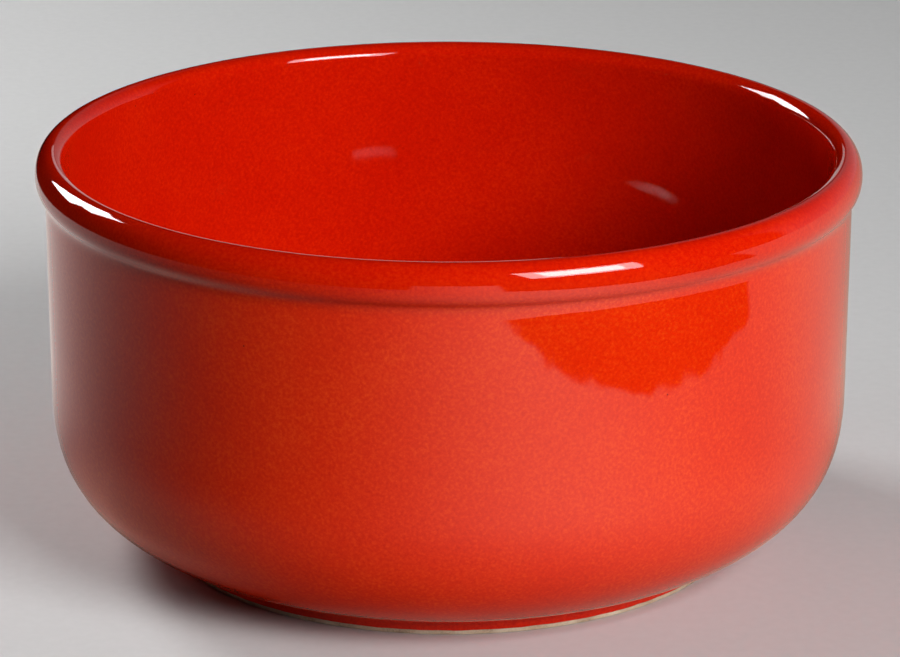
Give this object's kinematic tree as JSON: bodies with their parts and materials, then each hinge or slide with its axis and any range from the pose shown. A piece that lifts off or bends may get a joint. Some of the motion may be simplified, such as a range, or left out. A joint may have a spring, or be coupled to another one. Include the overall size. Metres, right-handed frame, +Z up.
{
  "type": "vegetable bowl",
  "caption": "Deep round serving bowl of glazed earthenware with a rolled rim, upright wall, rounded belly and low foot ring.",
  "frame": {"origin": "centre of the foot ring's bearing face, which is the centre of the box's bottom", "axes": "+Z up along the axis that the bowl is turned about; the bowl is round, so +X and +Y are any two directions square to it"},
  "size_m": [0.2032, 0.2032, 0.1016],
  "materials": {
    "fired_clay": "matt, bare and fine-grained",
    "red_glaze": "high gloss orange-red with a fine darker mottle"
  },
  "bodies": {
    "root": {"clay_body": "fired_clay", "glaze_coat": "red_glaze", "base_glaze": "red_glaze"}
  },
  "joints": []
}
